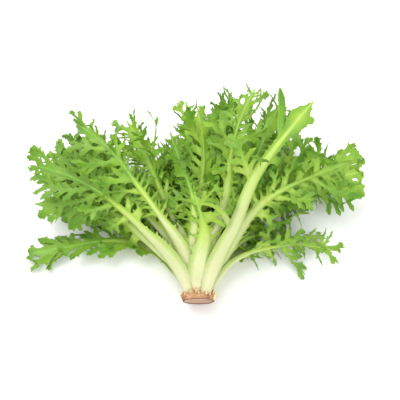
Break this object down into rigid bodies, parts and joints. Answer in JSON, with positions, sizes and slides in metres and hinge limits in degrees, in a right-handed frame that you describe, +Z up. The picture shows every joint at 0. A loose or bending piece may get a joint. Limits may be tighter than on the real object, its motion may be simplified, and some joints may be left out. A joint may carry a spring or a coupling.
{
  "type": "curly endive head",
  "caption": "A cut head of curly endive lying on its side: a short stem with a fan of toothed, lobed leaves, pale at the stalks and green at the tips.",
  "frame": {"origin": "under the middle of the head, on the table it lies on", "axes": "+X to the right across the fan of leaves, +Y from the cut end of the stem towards the leaf tips, +Z up from the table"},
  "size_m": [0.2936, 0.1764, 0.0943],
  "materials": {
    "stem": "matte",
    "outer_leaf": "satin",
    "middle_leaf": "satin",
    "heart_leaf": "satin"
  },
  "bodies": {
    "root": {"stem": "stem", "outer_leaf_01": "outer_leaf", "outer_leaf_02": "outer_leaf", "outer_leaf_03": "outer_leaf", "outer_leaf_04": "outer_leaf", "outer_leaf_05": "outer_leaf", "outer_leaf_06": "outer_leaf", "outer_leaf_07": "outer_leaf", "outer_leaf_08": "outer_leaf", "outer_leaf_09": "outer_leaf", "outer_leaf_10": "outer_leaf", "outer_leaf_11": "outer_leaf", "outer_leaf_12": "outer_leaf", "outer_leaf_13": "outer_leaf", "outer_leaf_14": "outer_leaf", "outer_leaf_15": "outer_leaf", "outer_leaf_16": "outer_leaf", "middle_leaf_17": "middle_leaf", "middle_leaf_18": "middle_leaf", "middle_leaf_19": "middle_leaf", "middle_leaf_20": "middle_leaf", "middle_leaf_21": "middle_leaf", "middle_leaf_22": "middle_leaf", "middle_leaf_23": "middle_leaf", "middle_leaf_24": "middle_leaf", "middle_leaf_25": "middle_leaf", "middle_leaf_26": "middle_leaf", "middle_leaf_27": "middle_leaf", "middle_leaf_28": "middle_leaf", "middle_leaf_29": "middle_leaf", "middle_leaf_30": "middle_leaf", "middle_leaf_31": "middle_leaf", "middle_leaf_32": "middle_leaf", "middle_leaf_33": "middle_leaf", "middle_leaf_34": "middle_leaf", "middle_leaf_35": "middle_leaf", "middle_leaf_36": "middle_leaf", "heart_leaf_37": "heart_leaf", "heart_leaf_38": "heart_leaf", "heart_leaf_39": "heart_leaf", "heart_leaf_40": "heart_leaf", "heart_leaf_41": "heart_leaf", "heart_leaf_42": "heart_leaf", "heart_leaf_43": "heart_leaf", "heart_leaf_44": "heart_leaf", "heart_leaf_45": "heart_leaf", "heart_leaf_46": "heart_leaf", "heart_leaf_47": "heart_leaf", "heart_leaf_48": "heart_leaf"}
  },
  "joints": []
}
